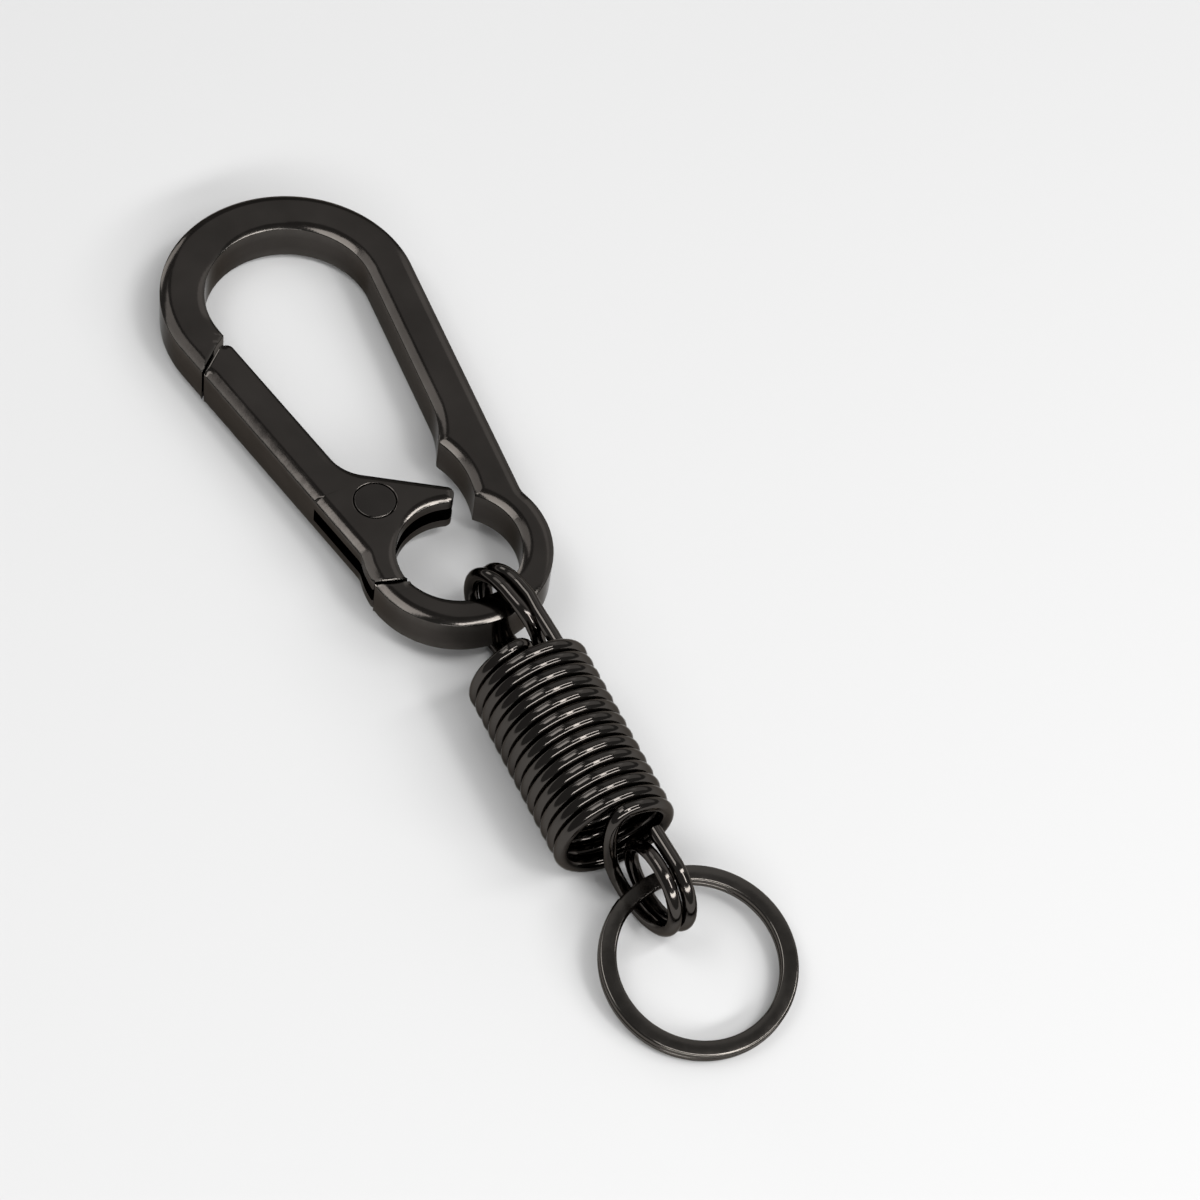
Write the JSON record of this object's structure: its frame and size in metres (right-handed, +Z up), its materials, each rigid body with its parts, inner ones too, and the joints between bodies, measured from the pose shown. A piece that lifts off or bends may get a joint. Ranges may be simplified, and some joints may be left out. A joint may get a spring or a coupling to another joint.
{
  "type": "belt key clip",
  "caption": "Gunmetal belt key clip: an oval spring-gate hook for a belt loop, a close-wound stretch spring hooked to its eye, and a flat split ring for keys.",
  "frame": {"origin": "on the table that the clip lies on, under the middle of its box", "axes": "+Y runs from the key ring to the top of the hook, +Z up off the table to the face that the picture shows, +X to the right, away from the gate"},
  "size_m": [0.035, 0.1396, 0.0162],
  "materials": {
    "cast_gunmetal": "black-nickel plating, glossy",
    "pin_steel": "black-nickel plating, ground flush",
    "plain_spring_steel": "bare spring wire",
    "plated_spring_wire": "black-nickel plating, glossy",
    "plated_ring_steel": "black-nickel plating, glossy"
  },
  "bodies": {
    "hook": {"hook_body": "cast_gunmetal", "pivot_pin": "pin_steel", "gate_spring": "plain_spring_steel"},
    "gate_arm": {"gate": "cast_gunmetal"},
    "spring": {"spring_coil": "plated_spring_wire"},
    "spring_end": {"spring_lower_hook": "plated_spring_wire"},
    "ring": {"key_ring": "plated_ring_steel"}
  },
  "joints": [
    {"name": "gate_hinge", "type": "hinge", "parent": "hook", "child": "gate_arm", "pos_m": [-0.00625, 0.01658, 0.00536], "axis": [0, 0.0395, 0.9992], "range_deg": [-30, 0], "stiffness_Nm_per_rad": 0.04, "springref_deg": 20.05, "deforming": ["gate_spring"]},
    {"name": "spring_swing", "type": "hinge", "parent": "hook", "child": "spring", "pos_m": [0.0019, -0.0045, 0.00655], "axis": [0.9976, -0.0698, 0], "range_deg": [-80, 80]},
    {"name": "spring_stretch", "type": "slide", "parent": "spring", "child": "spring_end", "axis": [-0.0698, -0.9976, 0], "range_m": [0, 0.032], "stiffness_N_per_m": 1800, "deforming": ["spring_coil"]},
    {"name": "ring_swing", "type": "hinge", "parent": "spring_end", "child": "ring", "pos_m": [-0.0007, -0.04602, 0.00413], "axis": [0.9976, -0.0698, 0], "range_deg": [-80, 70]}
  ]
}
